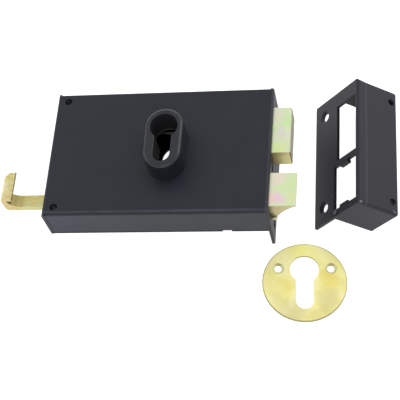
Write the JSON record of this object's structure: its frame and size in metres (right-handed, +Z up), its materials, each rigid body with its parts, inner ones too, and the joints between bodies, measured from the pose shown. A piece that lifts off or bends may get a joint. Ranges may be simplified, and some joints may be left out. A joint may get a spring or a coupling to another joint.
{
  "type": "rim lock",
  "caption": "Rim lock with a square dead bolt, a bevelled latch drawn by a pull hook, an oblong cylinder collar, a box keeper and a round escutcheon.",
  "frame": {"origin": "middle of the whole set's outline, on the surface that it lies on", "axes": "+X along the lock from the pull hook to the keeper, +Y up the door when fitted, +Z up from the surface, towards the lock's front"},
  "size_m": [0.2458, 0.1524, 0.0527],
  "materials": {
    "black_enamel": "fine textured bluish black enamel",
    "collar_black": "soft black",
    "yellow_zinc": "iridescent yellow zinc",
    "gold_zinc": "yellow zinc",
    "brass": "pale polished brass",
    "steel_plate": "zinc plated pressed steel",
    "turned_steel": "turned",
    "spring_steel": "drawn wire and strip"
  },
  "bodies": {
    "lock_case": {"case_shell": "black_enamel", "back_plate": "black_enamel", "cylinder_collar": "collar_black", "collar_screws": "turned_steel", "fixing_tubes": "turned_steel", "cover_posts": "turned_steel", "cover_screws": "turned_steel", "dead_bolt_guide_post": "turned_steel", "latch_guide_post": "turned_steel", "detent_spring_post": "turned_steel", "detent_spring": "spring_steel", "latch_spring": "spring_steel", "spring_stop": "steel_plate", "lever_pivot_stud": "turned_steel", "lever_washer": "turned_steel"},
    "dead_bolt": {"dead_bolt_head": "yellow_zinc", "dead_bolt_tail": "steel_plate", "dead_bolt_rivets": "turned_steel"},
    "latch": {"latch_head": "yellow_zinc", "latch_tail": "steel_plate", "latch_head_rivets": "turned_steel", "latch_drive_pin": "turned_steel", "pull_hook": "gold_zinc", "pull_hook_rivets": "turned_steel", "spring_guide_rod": "turned_steel"},
    "latch_lever": {"latch_lever": "steel_plate"},
    "keeper": {"keeper_shell": "black_enamel"},
    "escutcheon": {"escutcheon": "brass"}
  },
  "joints": [
    {"name": "dead_bolt_slide", "type": "slide", "parent": "lock_case", "child": "dead_bolt", "axis": [-0.9926, 0, -0.1217], "range_m": [0, 0.011], "deforming": ["detent_spring"]},
    {"name": "latch_slide", "type": "slide", "parent": "lock_case", "child": "latch", "axis": [-0.9926, 0, -0.1217], "range_m": [0, 0.0155], "stiffness_N_per_m": 500, "springref_m": -0.008, "deforming": ["latch_spring"]},
    {"name": "latch_lever_pivot", "type": "hinge", "parent": "lock_case", "child": "latch_lever", "pos_m": [-0.04305, 0.01353, 0.01261], "axis": [0.1217, 0, -0.9926], "range_deg": [0, 38.11]},
    {"name": "keeper_lift", "type": "slide", "parent": "lock_case", "child": "keeper", "axis": [0, 0, 1], "range_m": [0, 0.06]},
    {"name": "escutcheon_lift", "type": "slide", "parent": "lock_case", "child": "escutcheon", "axis": [0, 0, 1], "range_m": [0, 0.06]}
  ],
  "couplings": [
    {"joint": "latch_lever_pivot", "follows": "latch_slide", "rad_per_m": 42.802}
  ]
}
